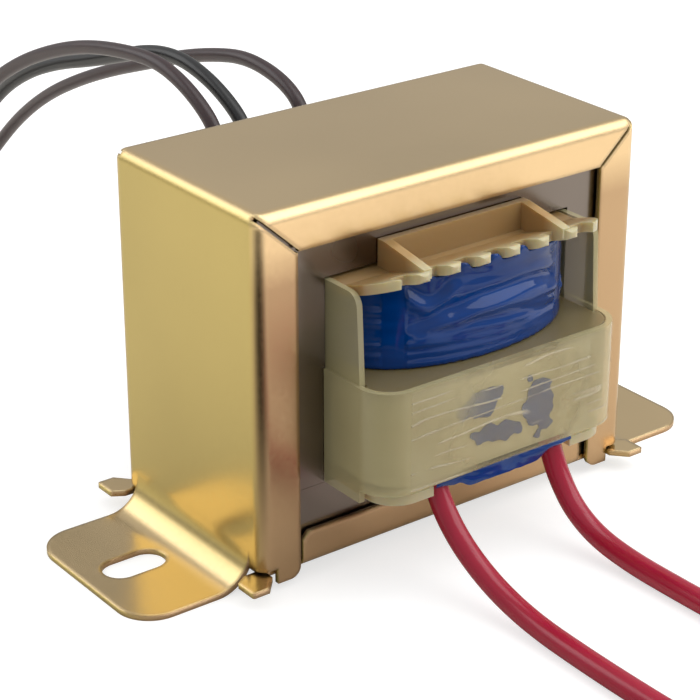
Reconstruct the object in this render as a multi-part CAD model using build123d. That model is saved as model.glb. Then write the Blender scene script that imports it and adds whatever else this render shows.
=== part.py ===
from build123d import *
import os
from math import cos, hypot, pi, radians, sin, tan

os.makedirs("parts", exist_ok=True)

# Mains transformer on an EI core, clamped in a folded steel bracket with two slotted feet.
# Frame: X along the feet, -Y towards the mains leads, Z up, feet standing on Z = 0.

# Core sheets
core_width = 57.2
core_height = 45.7
core_depth = 28.5
centre_leg_width = 19.0
yoke_height = 9.3
side_leg_width = 9.5
sheet_pitch = 0.5
sheet_gap = 0.03
butt_gap = 0.05

# Clamping bracket
steel = 0.7
side_gap = 0.3
face_gap = 0.35
end_gap = 0.1
bend_outer = 1.45
bend_inner = 0.55
top_lip = 5.4
side_lip = 5.9
lip_corner = 1.5
lip_bottom = 1.0
mitre_gap = 0.45
notch_width = 2.5
notch_top = 3.1

# Feet
foot_span = 91.0
foot_width = 25.2
foot_bend = 4.5
foot_corner = 4.8
slot_pitch = 76.6
slot_length = 8.6
slot_width = 4.9

# Base plate, pushed a little to the left as the real one is
base_height = 2.0
base_lip_height = 4.7
base_lip_half = 22.7
base_lip_chamfer = 1.0
base_shift = -0.6
base_bend = 1.3
ear_out = 2.4
ear_front = 2.6
ear_length = 3.3
ear_root = 0.9

# Bobbin
leg_gap = 0.2
tube_wall = 1.0
flange = 1.3
divider = 1.2
bobbin_seat = 0.1
bobbin_headroom = 0.5
divider_low = 26.2
inner_reach = 18.0
comb_reach = 23.8
comb_corner = 4.6
comb_pitch = 4.6
comb_slots = 7
slot_gap = 2.3
slot_depth = 2.6
comb_rise = 2.4
comb_rise_start = 16.6
comb_nose = 0.5
gusset_height = 3.6
gusset_half = 10.8
gusset_width = 1.2
gusset_stop = 0.6
wall_thickness = 1.1
wall_stand_off = 0.15
base_rim = 0.4
base_rim_inset = 0.3
base_inset = 0.5
base_corner = 4.2
lead_notch_half = 11.0
lead_notch_root = 20.3

# Shrouds
shroud_wall = 0.8
shroud_half_width = 19.4
shroud_reach = 25.7
shroud_corner = 4.4
shroud_rim = 27.5
shroud_seat = 0.05
plate_gap = 0.15
plate_reach_low = 20.9
plate_reach_high = 20.2
plate_corner = 1.8
plate_headroom = 0.3
skirt_reach = 21.4
skirt_low = 12.3
shroud_split = 0.1

# Windings and tapes
winding_gap = 0.1
primary_half_width = 17.0
splice_gap = 0.9
splice_cover = 0.65
primary_corner = 5.0
secondary_half_width = 13.8
secondary_reach = 20.0
secondary_corner = 7.0
primary_tape_wall = 0.55
tape_fit = 0.05
secondary_tape_half_width = 16.5
secondary_tape_front = 23.0
secondary_tape_back = 24.2
secondary_tape_corner = 8.4
secondary_tape_round = 0.9
clear_tape_wall = 0.15
clear_tape_left = -15.0
clear_tape_back = 16.5
clear_tape_inset = 0.25
exit_tape_wall = 0.25

# Leads
mains_diameter = 2.9
output_diameter = 2.0
mains_core_diameter = 1.3
output_core_diameter = 1.0
bare_length = 5.0
mains_sleeve_length = 6.0
mains_sleeve_diameter = 3.2
output_sleeve_length = 7.0
output_sleeve_width = 3.0
output_sleeve_thickness = 2.2
lead_slack = 0.1
loop_radius = 17.4
loop_shrink = 4.8
loop_turns = 1.05
loop_points = 18

# Worked out from the sizes above
bracket_width = core_width + 2 * (side_gap + steel)
bracket_depth = core_depth + 2 * (face_gap + steel)
core_bottom = base_height + steel + end_gap
core_top = core_bottom + core_height
bracket_height = core_top + end_gap + steel
window_low = core_bottom + yoke_height
window_high = core_top - yoke_height
window_reach = core_width / 2 - side_leg_width
core_face = core_depth / 2
bobbin_low = window_low + bobbin_seat
bobbin_high = window_high - bobbin_headroom
plate_top = window_high - plate_headroom
slot_root = comb_reach - slot_depth
last_slot = (comb_slots - 1) / 2 * comb_pitch
divider_high = divider_low + divider
wall_y = bracket_depth / 2
wall_x = bracket_width / 2
tape_grow = primary_tape_wall + tape_fit
primary_reach = shroud_reach - shroud_wall - splice_gap - mains_sleeve_diameter - tape_grow


def box(x0, x1, y0, y1, z0, z1):
    """A box between two corners."""
    size = Box(x1 - x0, y1 - y0, z1 - z0)
    return Pos((x0 + x1) / 2, (y0 + y1) / 2, (z0 + z1) / 2) * size


def both(shape, plane):
    """A shape together with its mirror image."""
    return shape + mirror(shape, about=plane)


def slab(half_x, front, back, corner, z0, z1):
    """A plate with four rounded upright corners, from Y = -front to Y = back."""
    plate = box(-half_x, half_x, -front, back, z0, z1)
    return fillet(plate.edges().filter_by(Axis.Z), corner)


def group(shapes):
    """Several separate solids under one name."""
    return Compound(children=list(shapes))


# Core, E and I sheets laid in turn from opposite ends
def e_sheet(y, yoke_up):
    low, high = core_bottom, core_top
    if yoke_up:
        low = core_bottom + yoke_height + butt_gap
        open_low, open_high = low - 1, core_top - yoke_height
    else:
        high = core_top - yoke_height - butt_gap
        open_low, open_high = core_bottom + yoke_height, high + 1
    thick = (sheet_pitch - sheet_gap) / 2
    blank = box(-core_width / 2, core_width / 2, y - thick, y + thick, low, high)
    opening = box(centre_leg_width / 2, window_reach, y - 1, y + 1, open_low, open_high)
    return blank - opening - mirror(opening, about=Plane.YZ)


def i_sheet(y, at_top):
    low = core_top - yoke_height if at_top else core_bottom
    thick = (sheet_pitch - sheet_gap) / 2
    return box(-core_width / 2, core_width / 2, y - thick, y + thick, low, low + yoke_height)


sheet_count = round(core_depth / sheet_pitch)
sheet_places = [((i + 0.5) * core_depth / sheet_count - core_face, i % 2 == 0) for i in range(sheet_count)]
e_laminations = group(e_sheet(y, up) for y, up in sheet_places)
i_laminations = group(i_sheet(y, not up) for y, up in sheet_places)


# Bracket: top, two sides and lips folded over both core faces
def bent_block(half_x, half_y, low, high, radius):
    block = box(-half_x, half_x, -half_y, half_y, low, high)
    edges = block.edges().filter_by(Axis.Z) + block.faces().sort_by(Axis.Z)[-1].edges()
    return fillet(edges, radius)


def make_bracket():
    shell = bent_block(wall_x, wall_y, lip_bottom, bracket_height, bend_outer)
    shell -= bent_block(
        wall_x - steel, wall_y - steel, lip_bottom - 1, bracket_height - steel, bend_inner
    )
    lip_x = wall_x - side_lip
    lip_z = bracket_height - top_lip
    shell -= box(-lip_x, lip_x, -wall_y - 1, wall_y + 1, lip_bottom - 1, lip_z)
    corners = shell.edges().filter_by(Axis.Y).filter_by_position(Axis.Z, lip_bottom - 0.01, lip_bottom + 0.01)
    corners = corners.filter_by_position(Axis.X, -lip_x - 0.1, lip_x + 0.1)
    shell = fillet(corners, lip_corner)
    # The lips meet in an open mitre that runs out through each top corner
    slope = hypot(side_lip, top_lip)
    cutter = Box(1.6 * slope, 2 * bend_outer + 1, mitre_gap)
    turn = Rot(0, -Vector(side_lip, top_lip, 0).get_angle(Vector(1, 0, 0)), 0)
    start = Pos(lip_x + side_lip * 0.8 - 0.05, -wall_y - 0.5, lip_z + top_lip * 0.8 - 0.05)
    mitre = both(both(start * turn * cutter, Plane.YZ), Plane.XZ)
    shell -= mitre
    # Below the walls the sheet narrows to the feet, and the corner bends are notched for the ears
    foot_start = steel + foot_bend
    half_foot = foot_width / 2
    notch = box(wall_x - notch_width, wall_x + 1, half_foot, wall_y + 1, 0, notch_top)
    notch += box(wall_x - steel - 0.2, wall_x + 1, 0, half_foot, 0, foot_start)
    shell -= both(both(notch, Plane.YZ), Plane.XZ)
    return shell + both(make_foot(foot_start), Plane.YZ)


def make_foot(foot_start):
    half_span = foot_span / 2
    centre = (wall_x + foot_bend, foot_start)
    inner, outer = foot_bend, foot_bend + steel
    slant = cos(pi / 4)
    with BuildPart() as foot:
        with BuildSketch(Plane.XZ) as profile:
            with BuildLine():
                Line((wall_x - steel, foot_start), (wall_x, foot_start))
                ThreePointArc(
                    (wall_x, foot_start),
                    (centre[0] - inner * slant, centre[1] - inner * slant),
                    (centre[0], steel),
                )
                Line((centre[0], steel), (half_span, steel))
                Line((half_span, steel), (half_span, 0))
                Line((half_span, 0), (centre[0], 0))
                ThreePointArc(
                    (centre[0], 0),
                    (centre[0] - outer * slant, centre[1] - outer * slant),
                    (wall_x - steel, foot_start),
                )
            make_face()
        extrude(amount=foot_width / 2, both=True)
        tips = foot.edges().filter_by(Axis.Z).sort_by(Axis.X)[-2:]
        fillet(tips, foot_corner)
    slot = Pos(slot_pitch / 2, 0, steel / 2) * extrude(SlotOverall(slot_length, slot_width), steel, both=True)
    return foot.part - slot


bracket = make_bracket()


# Base plate: turned-up lips between the bracket's side lips, and an ear through each corner notch
def make_base_plate():
    low, top = base_height, base_height + steel
    lip_top = base_height + base_lip_height
    tray = box(-base_lip_half, base_lip_half, -wall_y, wall_y, low, lip_top)
    tray = fillet(tray.edges().filter_by(Axis.X).group_by(Axis.Z)[0], base_bend)
    ends = tray.edges().filter_by(Axis.Y).group_by(Axis.Z)[-1]
    tray = chamfer(ends, base_lip_chamfer)
    hollow = box(-core_width, core_width, steel - wall_y, wall_y - steel, top, lip_top + 1)
    tray -= fillet(hollow.edges().filter_by(Axis.X).group_by(Axis.Z)[0], base_bend - steel)
    flat_y = wall_y - steel - 0.15
    flat_x = wall_x - steel + base_shift - 0.15
    plate = tray + box(-flat_x, flat_x, -flat_y, flat_y, low, top)
    half_foot = foot_width / 2
    tip_x = wall_x + ear_out
    tip_y = wall_y + ear_front
    neck_x = flat_x - 0.35
    with BuildPart() as ear:
        with BuildSketch(Plane.XY.offset(low)):
            Polygon(
                (neck_x, ear_root - flat_y),
                (flat_x, ear_root - flat_y),
                (flat_x, -half_foot - 1.0),
                (wall_x + 0.8, -half_foot - 1.0),
                (tip_x, ear_length - tip_y),
                (tip_x, -tip_y),
                (wall_x, -tip_y),
                (neck_x, -wall_y - 0.6),
                align=None,
            )
        extrude(amount=steel)
        fillet(ear.edges().filter_by(Axis.Z).group_by(Axis.X)[-1], 0.3)
    return Pos(base_shift, 0, 0) * (plate + both(both(ear.part, Plane.YZ), Plane.XZ))


base_plate = make_base_plate()


# Bobbin: tube round the centre leg, two flanges, a divider, and a comb on the top flange
def make_bobbin():
    leg_x = centre_leg_width / 2 + leg_gap
    leg_y = core_face + leg_gap
    tube_x, tube_y = leg_x + tube_wall, leg_y + tube_wall
    flange_x, flange_y = inner_reach, shroud_reach - base_inset
    base_top = bobbin_low + flange
    # Bottom flange: narrow in the windows, as wide as the shrouds outside them
    base = slab(flange_x, flange_y, flange_y, base_corner, bobbin_low, base_top)
    rim_x, rim_y = flange_x - base_rim_inset, flange_y - base_rim_inset
    base += slab(rim_x, rim_y, rim_y, base_corner - base_rim_inset, base_top, base_top + base_rim)
    rim_in = rim_y - shroud_wall
    base -= box(-core_width, core_width, -rim_in, rim_in, base_top, base_top + 2)
    notch = box(-lead_notch_half, lead_notch_half, -flange_y - 1, -lead_notch_root, bobbin_low - 1, base_top + 2)
    base -= both(notch, Plane.XZ)
    # Divider, inside the shrouds' walls
    divider_x = shroud_half_width - shroud_wall - plate_gap
    divider_y = shroud_reach - shroud_wall - plate_gap
    middle = slab(divider_x, divider_y, divider_y, shroud_corner - shroud_wall, divider_low, divider_high)
    middle -= both(box(inner_reach, divider_x + 1, -clear_of_plate, clear_of_plate, 0, 60), Plane.YZ)
    body = base + middle + make_comb()
    body += box(-tube_x, tube_x, -tube_y, tube_y, bobbin_low, bobbin_high)
    return body - box(-leg_x, leg_x, -leg_y, leg_y, bobbin_low - 1, bobbin_high + 8)


def make_comb():
    """The top flange. It bows upwards outside the core, and its edge is cut into fingers."""
    low, high = bobbin_high - flange, bobbin_high
    rise = comb_rise
    with BuildPart() as bowed:
        with BuildSketch(Plane.YZ):
            Polygon(
                (0, low),
                (comb_rise_start, low),
                (comb_reach, low + rise),
                (comb_reach, high + rise),
                (comb_rise_start, high),
                (0, high),
                align=None,
            )
        extrude(amount=inner_reach, both=True)
        nose = bowed.edges().filter_by(Axis.X).group_by(Axis.Y)[-1]
        fillet(nose, comb_nose)
    plate = both(bowed.part, Plane.XZ)
    finger_round = (comb_pitch - slot_gap) / 2 - 0.08
    with BuildPart() as comb:
        with BuildSketch(Plane.XY.offset(low - 1)) as plan:
            RectangleRounded(2 * inner_reach, 2 * comb_reach, comb_corner)
            for side in (-1, 1):
                slot_length_y = slot_depth + 1
                with Locations((0, side * (slot_root + slot_length_y / 2))):
                    with GridLocations(comb_pitch, 1, comb_slots, 1):
                        Rectangle(slot_gap, slot_length_y, mode=Mode.SUBTRACT)
            tips = [v for v in plan.vertices() if abs(v.Y) > comb_reach - 0.01 and abs(v.X) < last_slot]
            fillet(tips, finger_round)
            roots = [v for v in plan.vertices() if abs(abs(v.Y) - slot_root) < 0.01]
            fillet(roots, 0.4)
        extrude(amount=flange + rise + 2)
    plate &= comb.part
    # Upright wall against the core, and a gusset from each of its ends to a finger's tip
    wall_low_y = core_face + wall_stand_off
    wall_high_y = wall_low_y + wall_thickness
    side = gusset_half + gusset_width / 2
    wall = box(-side, side, wall_low_y, wall_high_y, low, high + gusset_height)
    with BuildPart() as gusset:
        with BuildSketch(Plane.YZ.offset(gusset_half - gusset_width / 2)):
            Polygon(
                (wall_low_y, low + 0.2),
                (comb_rise_start, low + 0.2),
                (comb_reach - gusset_stop, low + rise),
                (comb_reach - gusset_stop, high + rise),
                (wall_high_y + 0.2, high + gusset_height),
                (wall_low_y, high + gusset_height),
                align=None,
            )
        extrude(amount=gusset_width)
    wall += both(gusset.part, Plane.YZ)
    return plate + both(wall, Plane.XZ)


clear_of_plate = plate_reach_low + 0.3
bobbin = make_bobbin()


# Shrouds: a cup round the lower winding, with two side plates that rise past the upper one
def make_shroud():
    low = bobbin_low + flange + base_rim + shroud_seat
    cup = slab(shroud_half_width, shroud_reach, shroud_reach, shroud_corner, low, shroud_rim)
    inside_x, inside_y = shroud_half_width - shroud_wall, shroud_reach - shroud_wall
    cup -= slab(inside_x, inside_y, inside_y, shroud_corner - shroud_wall, low - 1, shroud_rim + 1)
    cup &= box(-30, 30, -30, -core_face - 0.1, 0, 60)
    plate_in = inner_reach + plate_gap
    plate_out = plate_in + shroud_wall
    with BuildPart() as plate:
        with BuildSketch(Plane.YZ.offset(plate_in)):
            with BuildLine():
                Polyline(
                    (-shroud_split, low),
                    (-core_face - 0.6, low),
                    (-core_face - 0.6, shroud_rim - 1.5),
                    (-plate_reach_low, shroud_rim - 1.5),
                    (-plate_reach_high, plate_top),
                    (-shroud_split, plate_top),
                    close=True,
                )
            make_face()
        extrude(amount=shroud_wall)
        corner = plate.edges().filter_by(Axis.X).group_by(Axis.Z)[-1].sort_by(Axis.Y)[0]
        fillet(corner, plate_corner)
    skirt = box(inside_x, shroud_half_width, -skirt_reach, -core_face - 0.1, skirt_low, low + 1)
    return cup + both(plate.part + skirt, Plane.YZ)


shroud_front = make_shroud()
shroud_rear = mirror(shroud_front, about=Plane.XZ)


# Windings, each a ring of enamelled copper wire round the bobbin's tube
def ring(half_x, front, back, corner, z0, z1, inner_x, inner_y, inner_corner):
    return slab(half_x, front, back, corner, z0, z1) - slab(
        inner_x, inner_y, inner_y, inner_corner, z0 - 1, z1 + 1
    )


inside_x = centre_leg_width / 2 + leg_gap + tube_wall + winding_gap
inside_y = core_face + leg_gap + tube_wall + winding_gap
primary_low = bobbin_low + flange + winding_gap
primary_high = divider_low - winding_gap
secondary_low = divider_high + winding_gap
secondary_high = bobbin_high - flange - winding_gap
primary_winding = ring(
    primary_half_width, primary_reach, primary_reach, primary_corner,
    primary_low, primary_high, inside_x, inside_y, winding_gap,
)
secondary_winding = ring(
    secondary_half_width, secondary_reach, secondary_reach, secondary_corner,
    secondary_low, secondary_high, inside_x, inside_y, winding_gap,
)

def make_primary_tape():
    """Once round the winding, and out in front over the splices of the mains leads."""
    cover = primary_reach + tape_grow + mains_sleeve_diameter + splice_cover
    outer = slab(
        primary_half_width + tape_grow, cover, primary_reach + tape_grow,
        primary_corner + tape_grow, primary_low + base_rim, primary_high,
    )
    return outer - slab(
        primary_half_width + tape_fit, primary_reach + tape_fit, primary_reach + tape_fit,
        primary_corner + tape_fit, primary_low - 1, primary_high + 1,
    )


def make_secondary_tape():
    """Bulging to a half ellipse in front, squarer behind over the splices, and up under the comb."""
    slope = comb_rise / (comb_reach - comb_rise_start)
    far = 2 * comb_reach
    roof_high = secondary_high + slope * (far - comb_rise_start)
    with BuildPart() as wrap:
        with BuildSketch(Plane.XY.offset(secondary_low)):
            RectangleRounded(2 * secondary_tape_half_width, 2 * secondary_tape_back, secondary_tape_corner)
            with Locations((0, -core_face)):
                Rectangle(
                    3 * secondary_tape_half_width, secondary_tape_back,
                    align=(Align.CENTER, Align.MAX), mode=Mode.SUBTRACT,
                )
                Ellipse(secondary_tape_half_width, secondary_tape_front - core_face)
        extrude(amount=roof_high - secondary_low)
        fillet(wrap.faces().sort_by(Axis.Z)[0].edges(), secondary_tape_round)
    with BuildPart() as under_comb:
        with BuildSketch(Plane.YZ):
            Polygon(
                (0, secondary_low),
                (far, secondary_low),
                (far, roof_high),
                (comb_rise_start, secondary_high),
                (0, secondary_high),
                align=None,
            )
        extrude(amount=secondary_tape_half_width + 1, both=True)
    outer = wrap.part & both(under_comb.part, Plane.XZ)
    return outer - slab(
        secondary_half_width + tape_fit, secondary_reach + tape_fit, secondary_reach + tape_fit,
        secondary_corner + tape_fit, secondary_low - 1, roof_high,
    )


# Leads: where each one starts, the points of its route and the loop that its end is wound in
def loop(start, heading, side, radius, shrink, turns, count):
    """Points of a flat loop from a point, heading -Y turned by an angle, round a centre at one side."""
    turn0 = radians(heading)
    away = (side * cos(turn0), side * sin(turn0))
    cx, cy = start[0] + radius * away[0], start[1] + radius * away[1]
    points = []
    for i in range(round(turns * count) + 1):
        angle = 2 * pi * i / count
        r = radius - shrink * i / count
        ux, uy = -away[0], -away[1]
        spin = side * angle
        points.append((
            cx + r * (ux * cos(spin) - uy * sin(spin)),
            cy + r * (ux * sin(spin) + uy * cos(spin)),
            start[2],
        ))
    return points


floor_mains = mains_diameter / 2
floor_output = output_diameter / 2
mains_top = 20.0
mains_y = -(primary_reach + tape_grow + mains_sleeve_diameter / 2)
output_top = 36.6
output_y = 22.3

red_left_route = [
    (-9.2, mains_y, mains_top),
    (-9.2, mains_y, 15.2),
    (-9.2, -23.6, 11.6),
    (-9.2, -26.3, 8.2),
    (-9.2, -30.3, 5.3),
    (-9.2, -35.8, 3.0),
    (-9.2, -42.4, 1.7),
    (-9.3, -50.4, floor_mains),
    (-9.4, -59.2, floor_mains),
    (-9.2, -68.0, floor_mains),
]
red_right_route = [
    (9.4, mains_y, mains_top),
    (9.4, mains_y, 15.0),
    (9.5, -23.5, 11.2),
    (9.7, -25.2, 7.8),
    (9.8, -28.0, 4.7),
    (9.9, -32.4, 2.6),
    (10.1, -38.4, 1.7),
    (10.4, -45.6, floor_mains),
    (10.6, -54.4, floor_mains),
]
brown_left_route = [
    (-9.2, output_y, output_top),
    (-9.2, output_y, 41.2),
    (-9.1, 23.2, 44.9),
    (-9.0, 26.4, 47.3),
    (-9.0, 31.4, 49.6),
    (-9.0, 37.6, 50.9),
    (-9.0, 46.0, 50.2),
    (-9.0, 55.6, 48.5),
    (-9.0, 65.0, 45.6),
    (-9.1, 74.6, 41.6),
    (-9.4, 83.6, 36.4),
    (-9.8, 91.6, 29.4),
    (-10.4, 97.8, 20.8),
    (-11.2, 103.0, 11.8),
    (-12.6, 109.0, 4.2),
    (-15.4, 116.4, floor_output),
    (-19.2, 123.8, floor_output),
    (-22.8, 130.8, floor_output),
]
black_route = [
    (-4.6, output_y, output_top),
    (-4.6, output_y, 41.2),
    (-4.5, 23.3, 44.6),
    (-4.4, 26.8, 46.9),
    (-4.4, 32.0, 49.0),
    (-4.4, 38.6, 50.2),
    (-4.4, 46.2, 49.3),
    (-4.5, 54.2, 46.6),
    (-4.6, 62.8, 43.8),
    (-4.6, 71.8, 41.2),
    (-4.8, 80.8, 37.6),
    (-4.9, 89.0, 32.8),
    (-5.0, 96.4, 26.4),
    (-5.2, 102.8, 18.8),
    (-5.5, 108.6, 10.4),
    (-6.2, 115.0, 3.8),
    (-7.6, 122.6, floor_output),
    (-9.8, 130.6, floor_output),
    (-11.2, 137.8, floor_output),
]
brown_right_route = [
    (4.6, output_y, output_top),
    (4.6, output_y, 41.2),
    (4.9, 23.1, 44.7),
    (5.3, 26.2, 46.8),
    (5.5, 31.4, 48.2),
    (5.5, 37.8, 48.6),
    (5.5, 45.0, 47.2),
    (5.5, 53.6, 44.8),
    (5.5, 63.2, 41.4),
    (5.5, 73.4, 37.8),
    (5.5, 83.6, 33.6),
    (5.6, 93.8, 28.6),
    (5.6, 103.6, 22.2),
    (5.5, 112.4, 14.6),
    (5.2, 120.4, 6.6),
    (4.4, 129.0, floor_output),
    (2.8, 137.8, floor_output),
    (1.8, 145.4, floor_output),
]
red_left_loop = loop((-9.2, -77.6, floor_mains), 0, -1, loop_radius, loop_shrink, loop_turns, loop_points)
red_right_loop = loop((10.4, -64.0, floor_mains), 0, 1, loop_radius, loop_shrink, loop_turns, loop_points)


def middle_of(a, b):
    return tuple((p + q) / 2 for p, q in zip(a, b))


def corner_radii(points):
    """The largest arc each corner leaves room for."""
    radii = []
    for a, b, c in zip(points, points[1:], points[2:]):
        before, after = Vector(*b) - Vector(*a), Vector(*c) - Vector(*b)
        half = radians(before.get_angle(after)) / 2
        radii.append(0.45 * min(before.length, after.length) / tan(half))
    return radii


def tube_along(path, diameter):
    section = Plane(origin=path @ 0, z_dir=path % 0) * Circle(diameter / 2)
    return sweep(section, path=path)


def lead_tube(name, points, diameter):
    radii = corner_radii(points)
    path = FilletPolyline(*points, radius=radii)
    tube = tube_along(path, diameter)
    full = pi * diameter**2 / 4 * path.length
    print(f"{name}: length {path.length:.1f}, tightest {min(radii):.1f} = {min(radii) / diameter:.1f} diameters,"
          f" volume {tube.volume / full:.4f} of section times length")
    return tube


def bare_end(points, diameter):
    """The stripped and tinned end, straight on from a route's last run."""
    heading = (Vector(*points[-1]) - Vector(*points[-2])).normalized()
    face = Plane(origin=points[-1], z_dir=heading)
    return extrude(face * Circle(diameter / 2), amount=bare_length)


def straight(a, b, diameter):
    """A cylinder from one point to another."""
    run = Vector(*b) - Vector(*a)
    return extrude(Plane(origin=a, z_dir=run) * Circle(diameter / 2), amount=run.length)


red_left_split = middle_of(red_left_route[-1], red_left_loop[0])
red_right_split = middle_of(red_right_route[-1], red_right_loop[0])
red_lead_left = lead_tube("red_lead_left", red_left_route + [red_left_split], mains_diameter)
red_lead_right = lead_tube("red_lead_right", red_right_route + [red_right_split], mains_diameter)
red_loop_left = lead_tube("red_loop_left", [red_left_split] + red_left_loop, mains_diameter)
red_loop_right = lead_tube("red_loop_right", [red_right_split] + red_right_loop, mains_diameter)
brown_lead_left = lead_tube("brown_lead_left", brown_left_route, output_diameter)
black_lead = lead_tube("black_lead", black_route, output_diameter)
brown_lead_right = lead_tube("brown_lead_right", brown_right_route, output_diameter)


# Splices between winding wire and leads, each in a sleeve under the tape
def mains_sleeve(start, grow=0.0):
    top = (start[0], start[1], start[2] + mains_sleeve_length + grow)
    return straight(start, top, mains_sleeve_diameter + 2 * grow)


def output_sleeve(start, grow=0.0):
    half_x = output_sleeve_width / 2 + grow
    half_y = output_sleeve_thickness / 2 + grow
    x, y, z = start
    return fillet(
        box(x - half_x, x + half_x, y - half_y, y + half_y, z - output_sleeve_length - grow, z)
        .edges().filter_by(Axis.Z),
        0.9 * half_y,
    )


output_starts = [brown_left_route[0], black_route[0], brown_right_route[0]]
primary_splices = group(mains_sleeve(p) for p in (red_left_route[0], red_right_route[0]))
secondary_splices = group(output_sleeve(p) for p in output_starts)
primary_tape = make_primary_tape()
for route in (red_left_route, red_right_route):
    path = FilletPolyline(*route[:5], radius=corner_radii(route[:5]))
    primary_tape -= mains_sleeve(route[0], tape_fit) + tube_along(path, mains_diameter + 2 * lead_slack)
secondary_tape = make_secondary_tape()
for start in output_starts:
    secondary_tape -= output_sleeve(start, tape_fit)
    way_out = (start[0], start[1], bobbin_high + comb_rise)
    secondary_tape -= straight(start, way_out, output_diameter + 2 * lead_slack)


# Clear tape over the front shroud, round its right corner and along its right side
def make_shroud_tape():
    low = bobbin_low + flange + base_rim + shroud_seat + clear_tape_inset
    high = shroud_rim - clear_tape_inset
    grow = clear_tape_wall + 0.02
    wrap = slab(shroud_half_width + grow, shroud_reach + grow, shroud_reach, shroud_corner + grow, low, high)
    wrap -= slab(
        shroud_half_width + 0.02, shroud_reach + 0.02, shroud_reach, shroud_corner + 0.02, low - 1, high + 1
    )
    return wrap & box(clear_tape_left, 40, -40, -clear_tape_back, low - 1, high + 1)


shroud_tape = make_shroud_tape()

# Strip of blue tape tucked under the front shroud, between and behind the mains leads
exit_top = bobbin_low + flange + base_rim
exit_half = lead_notch_half - 0.2
with BuildPart() as exit_strip:
    with BuildSketch(Plane.XZ.offset(shroud_reach - 0.35)):
        Polygon(
            (-exit_half, exit_top),
            (-exit_half, exit_top - 0.8),
            (3.4 - exit_half, exit_top - 1.2),
            (5.8 - exit_half, exit_top - 2.1),
            (exit_half - 5.4, exit_top - 2.2),
            (exit_half - 3.2, exit_top - 1.2),
            (exit_half, exit_top - 0.9),
            (exit_half, exit_top),
            align=None,
        )
    extrude(amount=exit_tape_wall)
lead_exit_tape = exit_strip.part

nodes = {
    "bracket": bracket,
    "base_plate": base_plate,
    "e_laminations": e_laminations,
    "i_laminations": i_laminations,
    "bobbin": bobbin,
    "shroud_front": shroud_front,
    "shroud_rear": shroud_rear,
    "primary_winding": primary_winding,
    "secondary_winding": secondary_winding,
    "primary_tape": primary_tape,
    "secondary_tape": secondary_tape,
    "shroud_tape": shroud_tape,
    "lead_exit_tape": lead_exit_tape,
    "primary_splices": primary_splices,
    "secondary_splices": secondary_splices,
    "red_lead_left": red_lead_left,
    "red_lead_right": red_lead_right,
    "brown_lead_left": brown_lead_left,
    "black_lead": black_lead,
    "brown_lead_right": brown_lead_right,
    "red_loop_left": red_loop_left,
    "red_loop_right": red_loop_right,
    "red_end_left": bare_end(red_left_loop, mains_core_diameter),
    "red_end_right": bare_end(red_right_loop, mains_core_diameter),
    "brown_end_left": bare_end(brown_left_route, output_core_diameter),
    "black_end": bare_end(black_route, output_core_diameter),
    "brown_end_right": bare_end(brown_right_route, output_core_diameter),
}
for name, shape in nodes.items():
    export_step(shape, f"parts/{name}.step")
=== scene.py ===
from math import atan2, cos, exp, hypot, pi, radians, sin

import bpy
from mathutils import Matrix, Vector, noise


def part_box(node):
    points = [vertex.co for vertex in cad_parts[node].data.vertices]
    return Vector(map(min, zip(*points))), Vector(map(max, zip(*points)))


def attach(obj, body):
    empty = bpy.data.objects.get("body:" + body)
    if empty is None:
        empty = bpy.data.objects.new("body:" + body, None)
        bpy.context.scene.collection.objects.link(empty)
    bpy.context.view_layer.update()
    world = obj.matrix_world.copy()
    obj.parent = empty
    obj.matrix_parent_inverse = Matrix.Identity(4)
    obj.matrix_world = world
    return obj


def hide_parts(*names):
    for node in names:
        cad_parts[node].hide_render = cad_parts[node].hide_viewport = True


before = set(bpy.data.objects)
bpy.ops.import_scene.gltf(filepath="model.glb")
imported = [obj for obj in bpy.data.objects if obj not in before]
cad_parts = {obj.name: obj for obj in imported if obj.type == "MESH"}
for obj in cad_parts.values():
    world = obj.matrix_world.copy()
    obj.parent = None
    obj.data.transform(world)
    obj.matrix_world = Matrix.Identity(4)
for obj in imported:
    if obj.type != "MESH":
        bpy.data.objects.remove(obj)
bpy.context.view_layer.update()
mm = 0.001

# Camera
# A long lens at the front left, looking down at the core's open side. Its place and angle were fitted
# to the bracket's edges in the photograph, whose upright edges are straightened and don't all meet.
bpy.ops.object.camera_add(
    location=(-0.1635, -0.2103, 0.1414), rotation=(radians(65.38), 0, radians(-37.07))
)
camera = bpy.context.object
camera.data.lens = 115.7
camera.data.sensor_width = 36
camera.data.clip_start = 0.01
bpy.context.scene.camera = camera


# Core
# 57 E and 57 I sheets of silicon steel, stamped and laid in turn from opposite ends. The front sheet
# lies bare in the bracket's opening and reflects like a dull mirror.
def colour(hex_code):
    """An sRGB hex colour as linear red, green, blue and alpha."""
    parts = [int(hex_code[i : i + 2], 16) / 255 for i in (1, 3, 5)]
    return [p / 12.92 if p <= 0.04045 else ((p + 0.055) / 1.055) ** 2.4 for p in parts] + [1.0]


def new_material(name):
    """An empty material with its output, and the node tree to build it in."""
    material = bpy.data.materials.new(name)
    material.use_nodes = True
    material.node_tree.nodes.clear()
    return material, material.node_tree


def add_node(tree, kind, inputs=None, **settings):
    """Adds a node. Each input takes a plain value, or another node's output to link to."""
    node = tree.nodes.new(kind)
    for name, value in settings.items():
        setattr(node, name, value)
    for name, value in (inputs or {}).items():
        if isinstance(value, bpy.types.NodeSocket):
            tree.links.new(value, node.inputs[name])
        else:
            node.inputs[name].default_value = value
    return node


def dress(node_name, *materials):
    """Gives a CAD node its materials."""
    piece = bpy.data.objects[node_name]
    piece.data.materials.clear()
    for material in materials:
        piece.data.materials.append(material)


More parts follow.
